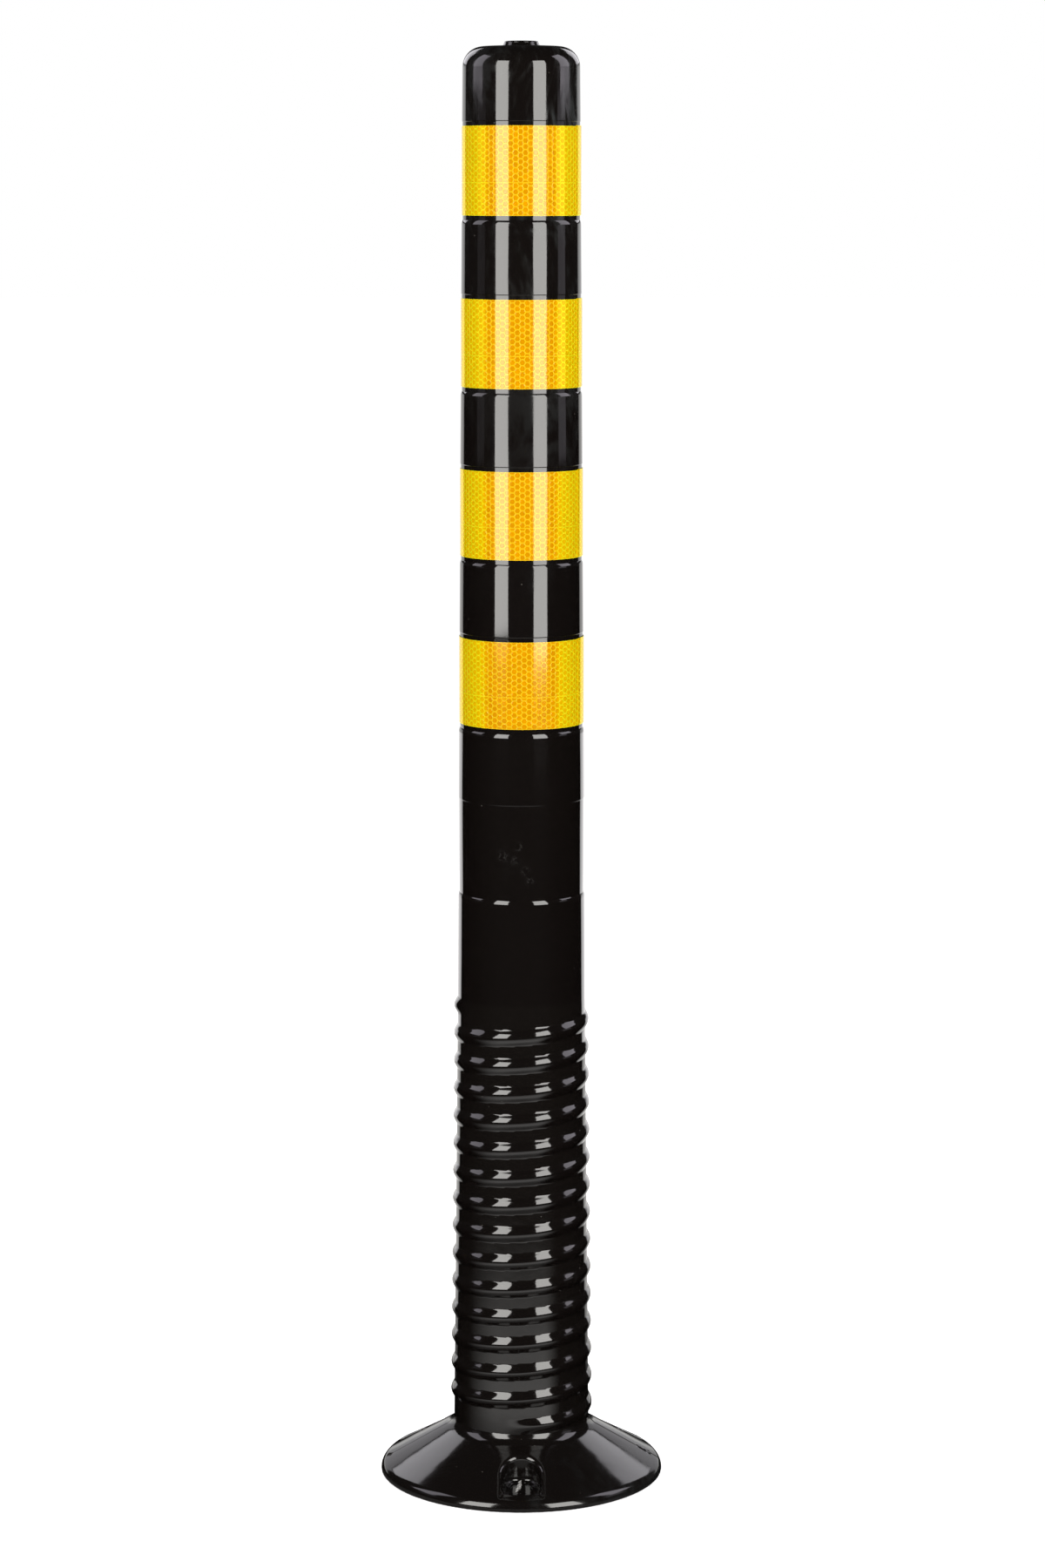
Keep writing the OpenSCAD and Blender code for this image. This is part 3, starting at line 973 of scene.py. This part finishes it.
def film_tree():
    """Geometry tree of a band's film: one sheet that goes round once and laps over its beginning."""
    tree, n, i, o = new_group(
        "Band film",
        "GeometryNodeTree",
        WRAP_INPUTS + [("Height", "Float", 0.06), ("Steps", "Int", 240), ("Film", "Material", None)],
        [("Geometry", "Geometry")],
    )
    once = n.math("MULTIPLY", i["Radius"], math.tau)
    length = n.math("ADD", once, i["Lap length"])
    box = n.add(
        "GeometryNodeMeshCube",
        {
            "Size": n.xyz(length, i["Height"], i["Film thickness"]),
            "Vertices X": n.math("ADD", i["Steps"], 1.0), "Vertices Y": 2, "Vertices Z": 2,
        },
    ).outputs[0]
    p = n.parts(n.add("GeometryNodeInputPosition").outputs[0])
    moved = n.xyz(
        n.math("MULTIPLY_ADD", length, 0.5, p[0]),
        n.math("MULTIPLY_ADD", i["Height"], 0.5, p[1]),
        n.math("SUBTRACT", p[2], n.math("MULTIPLY", i["Film thickness"], 0.5)),
    )
    flat = n.add("GeometryNodeSetPosition", {"Geometry": box, "Position": moved}).outputs[0]
    wrapped = wrap(n, i, flat)
    real = n.add("GeometryNodeRealizeInstances", {"Geometry": wrapped}).outputs[0]
    n.put(o["Geometry"], n.add("GeometryNodeSetMaterial", {"Geometry": real, "Material": i["Film"]}).outputs[0])
    return tree


CELL_TREE = cell_tree()
FILM_TREE = film_tree()


NEARLY_ALONG = 0.985


def face_normals(mesh):
    """Corner normals: a face that looks outwards takes the band's own round normals, the rest stay flat."""
    outward = vectors_of(mesh.attributes["outward"].data, len(mesh.vertices), "vector")
    corners, owner = corners_of(mesh)
    flat = vectors_of(mesh.polygons, len(mesh.polygons), "normal")[owner]
    round_ones = outward[corners]
    side = (flat * round_ones).sum(1)[:, None]
    normals = np.where(side > NEARLY_ALONG, round_ones, flat)
    normals = np.where(side < -NEARLY_ALONG, -round_ones, normals)
    mesh.attributes.remove(mesh.attributes["outward"])
    return normals


def band(number):
    """One reflective band: the film with its lap, and its cells in two tiles."""
    k = number - 1
    low = recess_top(k) - BAND_GAP - BAND_H
    inner = floor_r(k) + GLUE
    where = {
        "Radius": inner + BAND_T, "Film thickness": BAND_T, "Lap length": LAP_LEN, "Lap ramp": LAP_RAMP,
        "Lap step": LAP_STEP, "Start angle": LAP_ANGLE, "Low": low,
    }
    size = {"Height": BAND_H, "Steps": FILM_STEPS, "Film": WALL_FILM}
    sheet = run_tree(f"band_{number}_film", FILM_TREE, {**where, **size})
    shade(sheet.data, face_normals(sheet.data))
    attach(sheet, "post")
    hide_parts(f"reflective_band_{number}")
    columns = 2 * round((inner + BAND_T) * math.tau / (CELL_PITCH * math.cos(math.pi / 6)) / 2)
    for label, tile_low, tile_high in (("upper", BAND_H - TILE_H, BAND_H), ("lower", 0.0, BAND_H - TILE_H)):
        rows = math.ceil((tile_high - tile_low) / CELL_PITCH) + 1
        cells = run_tree(f"band_{number}_{label}_cells", CELL_TREE, {
            **where, "Columns": columns, "Rows": rows, "Tile low": tile_low, "Tile high": tile_high,
            "Pitch": CELL_PITCH, "Wall": CELL_WALL, "Lift": CELL_LIFT, "Film": CELL_FILM,
        })
        shade(cells.data, face_normals(cells.data))
        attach(cells, "post")


for number in range(1, BAND_COUNT + 1):
    band(number)

# ---------------------------------------------------------------- base


def soft_max(a, b, r):
    """The larger of two distances, with the edge between them rounded over about r."""
    h = np.maximum(r - np.abs(a - b), 0) / r
    return np.maximum(a, b) + h * h * r / 4


def soft_min(a, b, r):
    return -soft_max(-a, -b, r)


def base_outside(r, z):
    """Distance to the turned outside of the base: the rim, the cone and the neck's fillet."""
    high_x, high_z = r - (BASE_R - RIM_R), z - RIM_Z
    up_cone = -high_x * CONE_COS + high_z * CONE_SIN
    rim = np.where(up_cone > 0, high_x * CONE_SIN + high_z * CONE_COS, np.hypot(high_x, high_z)) - RIM_R
    foot_x = r - (BASE_R - RIM_Z)
    foot = np.where(foot_x > 0, np.hypot(foot_x, high_z) - RIM_Z, -z)
    low = np.where(z >= RIM_Z, rim, foot)
    dx, dz = r - FILLET_X, z - FILLET_Z
    in_fillet = (-dx * CONE_COS + dz * CONE_SIN > 0) & (z > RIM_Z)
    side = np.where(dx < 0, NECK_FILLET - np.hypot(dx, dz), low)
    return np.where(in_fillet, side, low)


LUMPS = (
    # angle, radius from the axis, height, size, share sunk
    (math.radians(-0.5), 0.0835, 0.0152, 0.0028, 0.55),
    (math.radians(-1.0), 0.0868, 0.0134, 0.0022, 0.45),
    (math.radians(-1.5), 0.0905, 0.0112, 0.0014, 0.30),
)
# the base's neck runs up this far inside the ribbed sleeve, so the crease between them stays sharp
NECK_TUCK = 0.0008
LUMP_BLEND = 0.002
CRISP_EDGE = 0.0004
FOOT_EDGE = 0.0008
BORE_EDGE = 0.0010
HOLLOW_EDGE = 0.0012
HOLLOW_ROUND = 0.003
UNDER_RIB_ROUND = 0.002
POCKET_ROUND = 0.0024
POCKET_LIP = 0.0026
HOLE_EDGE = 0.0008


def turned(x, y, angle):
    """Points seen along a line from the axis at this angle: distance along it, and aside from it."""
    return x * math.cos(angle) + y * math.sin(angle), -x * math.sin(angle) + y * math.cos(angle)


def from_pocket(along, aside):
    """Distance to the pocket's middle line, which starts at the anchor hole and runs outwards."""
    return np.hypot(np.minimum(along - ANCHOR_R, 0), aside)


def base_field(p):
    """Signed distance to the base, for rows of points."""
    x, y, z = p[:, 0], p[:, 1], p[:, 2]
    r = np.hypot(x, y)
    outside = base_outside(r, z)
    for angle, reach, height, size, sunk in LUMPS:
        c = (reach * math.cos(angle), reach * math.sin(angle), height - size * sunk)
        ball = np.sqrt((x - c[0]) ** 2 + (y - c[1]) ** 2 + (z - c[2]) ** 2) - size
        outside = soft_min(outside, ball, LUMP_BLEND)
    solid = soft_max(outside, z - NECK_Z - NECK_TUCK, CRISP_EDGE)
    solid = soft_max(solid, -z, FOOT_EDGE)
    solid = soft_max(solid, core_r(z) - r, BORE_EDGE)
    inner, outer = core_r(0) + SKIRT_WALL, BASE_R - FOOT_RING
    hollow = soft_max(inner - r, r - outer, HOLLOW_ROUND)
    hollow = soft_max(hollow, r * CONE_SIN + z * CONE_COS - CONE_REACH + BASE_WALL, HOLLOW_ROUND)
    for angle in POCKET_ANGLES:
        to_wall = POCKET_W / 2 + POCKET_WALL - from_pocket(*turned(x, y, angle))
        hollow = soft_max(hollow, to_wall, HOLLOW_ROUND)
        along, aside = turned(x, y, angle + math.pi / POCKET_COUNT)
        rib = np.where(along > 0, UNDER_RIB / 2 - np.abs(aside), -1.0)
        hollow = soft_max(hollow, rib, UNDER_RIB_ROUND)
    solid = soft_max(solid, -hollow, HOLLOW_EDGE)
    for angle in POCKET_ANGLES:
        along, aside = turned(x, y, angle)
        from_axis = np.hypot(along - ANCHOR_R, aside)
        pocket = soft_max(POCKET_FLOOR - z, from_pocket(along, aside) - POCKET_W / 2, POCKET_ROUND)
        solid = soft_max(solid, -pocket, POCKET_LIP)
        seat = soft_max(POCKET_FLOOR - WASHER_DEPTH - z, from_axis - WASHER_D / 2, CRISP_EDGE)
        solid = soft_max(solid, -seat, CRISP_EDGE)
        solid = soft_max(solid, ANCHOR_D / 2 - from_axis, HOLE_EDGE)
    return solid


def surface_net(field, low, high, step):
    """Points and four-sided faces of a field's zero surface, facing outwards."""
    counts = [int(math.ceil((b - a) / step)) + 1 for a, b in zip(low, high)]
    axes = [a + step * np.arange(c) for a, c in zip(low, counts)]
    values = np.empty(counts)
    plane = np.stack(np.meshgrid(axes[1], axes[2], indexing="ij"), -1).reshape(-1, 2)
    for k, x in enumerate(axes[0]):
        row = np.column_stack((np.full(len(plane), x), plane))
        values[k] = field(row).reshape(counts[1:])
    inside = values < 0
    cells = [c - 1 for c in counts]
    total = np.zeros(cells + [3])
    hits = np.zeros(cells)
    crossings = []
    for axis in range(3):
        a = [slice(None)] * 3
        b = [slice(None)] * 3
        a[axis], b[axis] = slice(0, -1), slice(1, None)
        v0, v1 = values[tuple(a)], values[tuple(b)]
        cross = inside[tuple(a)] != inside[tuple(b)]
        share = np.where(cross, v0 / np.where(cross, v0 - v1, 1), 0)
        others = [d for d in range(3) if d != axis]
        for s in (0, 1):
            for t in (0, 1):
                cut = [slice(None)] * 3
                cut[others[0]] = slice(s, s + cells[others[0]])
                cut[others[1]] = slice(t, t + cells[others[1]])
                m = cross[tuple(cut)]
                hits += m
                total[..., axis] += np.where(m, share[tuple(cut)], 0)
                total[..., others[0]] += m * s
                total[..., others[1]] += m * t
        crossings.append((axis, others, cross, inside[tuple(a)]))
    used = hits > 0
    number = np.full(cells, -1)
    number[used] = np.arange(used.sum())
    corner = np.argwhere(used)
    points = (corner + total[used] / hits[used][:, None]) * step + np.array(low)
    faces = []
    for axis, others, cross, starts_inside in crossings:
        at = np.argwhere(cross)
        at = at[(at[:, others[0]] > 0) & (at[:, others[1]] > 0)]
        at = at[(at[:, others[0]] < cells[others[0]]) & (at[:, others[1]] < cells[others[1]])]
        ring = []
        for s, t in ((1, 1), (0, 1), (0, 0), (1, 0)):
            c = at.copy()
            c[:, others[0]] -= s
            c[:, others[1]] -= t
            ring.append(number[c[:, 0], c[:, 1], c[:, 2]])
        quad = np.stack(ring, 1)
        start = starts_inside[at[:, 0], at[:, 1], at[:, 2]]
        if axis == 1:
            start = ~start
        quad[~start] = quad[~start][:, ::-1]
        faces.append(quad)
    return points, np.concatenate(faces)


def slope_of(field, p, h=0.00004):
    """Gradient of a field at rows of points."""
    columns = []
    for axis in range(3):
        d = np.zeros(3)
        d[axis] = h
        columns.append((field(p + d) - field(p - d)) / (2 * h))
    return np.stack(columns, 1)


SETTLING_PASSES = 5
LONGEST_MOVE = 0.35


def made_from_field(name, field, low, high, step, material):
    """A mesh object of a field's zero surface, with the field's own slope as its normals."""
    points, faces = surface_net(field, low, high, step)
    for _ in range(SETTLING_PASSES):
        g = slope_of(field, points)
        size = np.maximum((g * g).sum(1), 0.25)
        move = -(field(points) / size)[:, None] * g
        length = np.linalg.norm(move, axis=1)
        move *= np.minimum(1, LONGEST_MOVE * step / np.maximum(length, 1e-12))[:, None]
        points = points + move
    g = slope_of(field, points)
    g /= np.linalg.norm(g, axis=1)[:, None]
    return piece(name, points.tolist(), faces.tolist(), g[faces.ravel()], material)


NET_STEP = 0.00128
NET_EDGE = BASE_R + 2 * NET_STEP
NET_LOW = (-NET_EDGE, -NET_EDGE, -2 * NET_STEP)
NET_HIGH = (NET_EDGE, NET_EDGE, NECK_Z + NECK_TUCK + 2 * NET_STEP)
base = made_from_field("base", base_field, NET_LOW, NET_HIGH, NET_STEP, BASE_RUBBER)
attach(base, "base")
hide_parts("base_flange")

# ---------------------------------------------------------------- parting fins and flash

FIN_WIDTH = 0.0005
FIN_TOP_SHARE = 0.6
FIN_ROOT = 0.0004
FIN_END = math.radians(26)


def cone_line():
    """Places and outward normals down the base's outline, from the neck's crease to the rim."""
    down = math.radians(270) - CONE_ANGLE
    fillet = arc(FILLET_X, FILLET_Z, NECK_FILLET, math.pi + CREASE_ANGLE, down, 10)
    rows = [(x, z, -nx, -nz) for x, z, nx, nz in fillet[1:]]
    rim = arc(BASE_R - RIM_R, RIM_Z, RIM_R, math.pi / 2 - CONE_ANGLE, FIN_END, 8)
    rows += line(rows[-1][0], rows[-1][1], rim[0][0], rim[0][1], 40)[1:]
    return rows + rim[1:]


def parting_fin(name, side, height_at):
    """The thin fin that the mould's parting line leaves down one side of the base."""
    foot, top = FIN_WIDTH / 2, FIN_WIDTH / 2 * FIN_TOP_SHARE
    rings = []
    for x, z, nx, nz in cone_line():
        high = height_at(x)
        section = ((foot, -FIN_ROOT), (top, high), (-top, high), (-foot, -FIN_ROOT))
        rings.append([(side * (x + nx * up), side * aside, z + nz * up) for aside, up in section])
    fin = four_sided_bar(name, rings, BASE_RUBBER)
    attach(fin, "base")


def right_fin(x):
    """Height of the right fin, with a tag of flash low on the cone."""
    return 0.00035 + 0.0007 * math.exp(-(((x - 0.0905) / 0.0012) ** 2))


def left_fin(x):
    """Height of the left fin, with a square tag of flash near the rim."""
    return 0.00012 + 0.0010 * math.exp(-(((x - 0.0942) / 0.0016) ** 4))


parting_fin("right_parting_fin", 1, right_fin)
parting_fin("left_parting_fin", -1, left_fin)

FLASH_R = ANCHOR_D / 2 + 0.0003
FLASH_T = 0.0006
FLASH_SIDES = 40
SEAT_Z = POCKET_FLOOR - WASHER_DEPTH
# pale colours of the tear: painted light, for the light seen through the tear
PAINTED_LIGHT_LOW = (0.20, 0.195, 0.19, 1)
PAINTED_LIGHT_HIGH = (0.55, 0.54, 0.53, 1)
TEAR = (
    # aside and towards the post from the hole's axis, half width, height above the seat
    (-0.0002, 0.0108, 0.0002, 0.0026),
    (-0.0016, 0.0082, 0.0004, 0.0020),
    (-0.0004, 0.0066, 0.0005, 0.0017),
    (-0.0024, 0.0035, 0.0007, 0.0012),
    (-0.0010, 0.0012, 0.0007, 0.0010),
    (-0.0034, -0.0020, 0.0006, 0.0007),
    (-0.0026, -0.0042, 0.0004, 0.0005),
    (-0.0040, -0.0066, 0.0002, 0.0004),
)


def anchor_skin():
    """The thin skin of rubber that still closes the front anchor hole."""
    count = FLASH_SIDES
    outline = [math.tau * i / count for i in range(count)]
    points = [
        (FLASH_R * math.cos(a), FLASH_R * math.sin(a) - ANCHOR_R, z)
        for z in (SEAT_Z - FLASH_T, SEAT_Z - FLASH_T / 4)
        for a in outline
    ]
    faces = [tuple(range(count - 1, -1, -1)), tuple(range(count, 2 * count))]
    faces += [(i, (i + 1) % count, count + (i + 1) % count, count + i) for i in range(count)]
    skin = flat_piece("anchor_flash", points, faces, BASE_RUBBER)
    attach(skin, "base")


def tear_painted_light():
    """A pale painted light in the tear, which stands for the light seen through it."""
    material, nodes, sockets, place = new_material("tear_painted_light")
    cloud = nodes.noise(place, FINE_GRAIN, 3.0)
    # painted light: the pale colour stands for the light seen through the tear
    nodes.put(sockets["Base Color"], mix(nodes, nodes.span(cloud, 0.35, 0.65), PAINTED_LIGHT_LOW, PAINTED_LIGHT_HIGH))
    sockets["Roughness"].default_value = 0.6
    return material


def tear():
    """The curled-up edge of the tear across that skin, coloured pale as painted light for the light seen
    through the tear.
    """
    low = SEAT_Z - FLASH_T / 2
    rings = []
    for x, y, half, up in TEAR:
        section = ((-half, low), (half, low), (half, SEAT_Z + up), (-half, SEAT_Z + up))
        rings.append([(x + aside, y - ANCHOR_R, z) for aside, z in section])
    curl = four_sided_bar("anchor_flash_tear", rings, tear_painted_light())
    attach(curl, "base")


anchor_skin()
tear()

# ---------------------------------------------------------------- floor, light and camera

BACKDROP_HALF = math.radians(40)
SOFT_EDGE = math.radians(2)
FLOOR_HALF = 30.0
FLOOR_WHITE = (0.86, 0.86, 0.86, 1)
FLOOR_SHINE = (1, 0.985, 0.965, 1)
WHITE = (1, 1, 1, 1)
DIM_STUDIO = (0.02, 0.019, 0.018, 1)


def floor_plane():
    """A pale floor, which shines in the rubber only close in front of the post and far behind it."""
    size = FLOOR_HALF
    mesh = bpy.data.meshes.new("floor")
    corners = [(-size, -size, 0), (size, -size, 0), (size, size, 0), (-size, size, 0)]
    mesh.from_pydata(corners, [], [(0, 1, 2, 3)])
    plane = bpy.data.objects.new("floor", mesh)
    bpy.context.scene.collection.objects.link(plane)
    material = bpy.data.materials.new("pale_floor")
    material.use_nodes = True
    nodes = Tree(material.node_tree)
    shader = next(n for n in material.node_tree.nodes if n.type == "BSDF_PRINCIPLED")
    output = next(n for n in material.node_tree.nodes if n.type == "OUTPUT_MATERIAL")
    shader.inputs["Base Color"].default_value = FLOOR_WHITE
    shader.inputs["Roughness"].default_value = 0.9
    shader.inputs["Specular IOR Level"].default_value = 0.0
    shader.inputs["Emission Color"].default_value = WHITE
    path = nodes.add("ShaderNodeLightPath").outputs
    place = nodes.parts(nodes.add("ShaderNodeTexCoord").outputs["Object"])
    squares = nodes.math("ADD", nodes.math("POWER", place[0], 2.0), nodes.math("POWER", place[1], 2.0))
    away = nodes.math("SQRT", squares)
    lit = nodes.span(away, 0.3, 1.2, 0.62, 1.0)
    nodes.put(shader.inputs["Emission Strength"], nodes.math("MULTIPLY", path["Is Camera Ray"], lit))
    heading = nodes.math("ABSOLUTE", nodes.math("ARCTAN2", place[0], place[1]))
    front = nodes.math("ARCTAN2", place[0], nodes.math("MULTIPLY", place[1], -1.0))
    near = nodes.product(
        nodes.span(away, 0.22, 0.9, 1.3, 0.02),
        nodes.span(away, 0.12, 0.26, 0.2, 1.0),
        nodes.span(front, -1.75, -0.60),
        nodes.span(front, 1.15, 0.60),
    )
    behind = nodes.span(heading, BACKDROP_HALF + SOFT_EDGE, BACKDROP_HALF - SOFT_EDGE)
    glow = nodes.math("MAXIMUM", near, nodes.math("MULTIPLY", behind, nodes.span(away, 0.2, 0.6)))
    shine = nodes.add("ShaderNodeEmission", {"Color": FLOOR_SHINE, "Strength": glow})
    mixed = nodes.add("ShaderNodeMixShader")
    nodes.put(mixed.inputs[0], path["Is Glossy Ray"])
    nodes.put(mixed.inputs[1], shader.outputs[0])
    nodes.put(mixed.inputs[2], shine.outputs[0])
    nodes.put(output.inputs["Surface"], mixed.outputs[0])
    mesh.materials.append(material)


def soft_light(name, azimuth, half_angle, low, high, distance, strength, colour, mirrored=True):
    """An upright soft light. Azimuth 0 is the viewer's side, and grows to the viewer's right, in degrees."""
    data = bpy.data.lights.new(name, "AREA")
    data.shape = "RECTANGLE"
    data.size = 2 * distance * math.tan(math.radians(half_angle))
    data.size_y = high - low
    data.color = colour
    data.energy = strength * math.pi * data.size * data.size_y
    lamp = bpy.data.objects.new(name, data)
    a = math.radians(azimuth)
    lamp.location = (distance * math.sin(a), -distance * math.cos(a), (low + high) / 2)
    lamp.rotation_euler = (math.pi / 2, 0, a)
    lamp.visible_camera = False
    lamp.visible_glossy = mirrored
    bpy.context.scene.collection.objects.link(lamp)


def daylight():
    """A white surround behind the post, and a dim studio everywhere else."""
    world = bpy.data.worlds.new("studio")
    bpy.context.scene.world = world
    world.use_nodes = True
    nodes = Tree(world.node_tree)
    background = next(n for n in world.node_tree.nodes if n.type == "BACKGROUND")
    direction = nodes.parts(nodes.add("ShaderNodeTexCoord").outputs["Generated"])
    heading = nodes.math("ABSOLUTE", nodes.math("ARCTAN2", direction[0], direction[1]))
    behind = nodes.span(heading, BACKDROP_HALF + SOFT_EDGE, BACKDROP_HALF - SOFT_EDGE)
    low = nodes.span(direction[2], 0.12, 0.03)
    seen = nodes.add("ShaderNodeLightPath").outputs["Is Camera Ray"]
    share = nodes.math("MAXIMUM", nodes.math("MULTIPLY", behind, low), seen)
    nodes.put(background.inputs["Color"], mix(nodes, share, DIM_STUDIO, WHITE))
    background.inputs["Strength"].default_value = 1.0


floor_plane()
daylight()
SOFTBOX_WHITE = (1, 0.985, 0.95)
BACK_TINT = (0.97, 0.95, 1)
FILL_WHITE = (1, 0.99, 0.97)
SIDE_TINT = (0.96, 0.91, 1)
# name, azimuth and half width in degrees, lower and upper edge, distance, strength, colour
soft_light("left_softbox", -37.2, 12.8, 0.39, 2.05, 2.0, 8.8, SOFTBOX_WHITE)
soft_light("right_softbox", 35.8, 12.9, 0.35, 2.05, 2.0, 8.8, SOFTBOX_WHITE)
for side, tag in ((-1, "left"), (1, "right")):
    soft_light(f"{tag}_back_light", side * 151, 13, 1.30, 2.9, 3.0, 2.2, BACK_TINT)
    soft_light(f"{tag}_low_back_light", side * 151, 13, 0.10, 0.40, 1.0, 0.7, BACK_TINT)
soft_light("back_fill", 180, 30, 0.3, 2.0, 2.5, 2.4, FILL_WHITE, mirrored=False)
for side, tag, low_glow, high_glow in ((-1, "left", 0.16, 2.4), (1, "right", 0.62, 3.0)):
    soft_light(f"{tag}_side_light", side * 83, 9, 0.6, 1.05, 2.0, low_glow, SIDE_TINT)
    soft_light(f"{tag}_high_light", side * 94, 13, 1.05, 3.0, 2.0, high_glow, SIDE_TINT)

CAMERA_PLACE = (0.0008, -2.712, 0.9053)
CAMERA_DOWN = 8.62
camera_data = bpy.data.cameras.new("camera")
camera_data.lens = 90.42
camera_data.sensor_width = 36.0
camera_data.clip_end = 100.0
camera = bpy.data.objects.new("camera", camera_data)
camera.location = CAMERA_PLACE
camera.rotation_euler = (math.radians(90 - CAMERA_DOWN), 0, 0)
bpy.context.scene.collection.objects.link(camera)
bpy.context.scene.camera = camera
bpy.context.scene.view_settings.view_transform = "Standard"
bpy.context.scene.view_settings.look = "None"
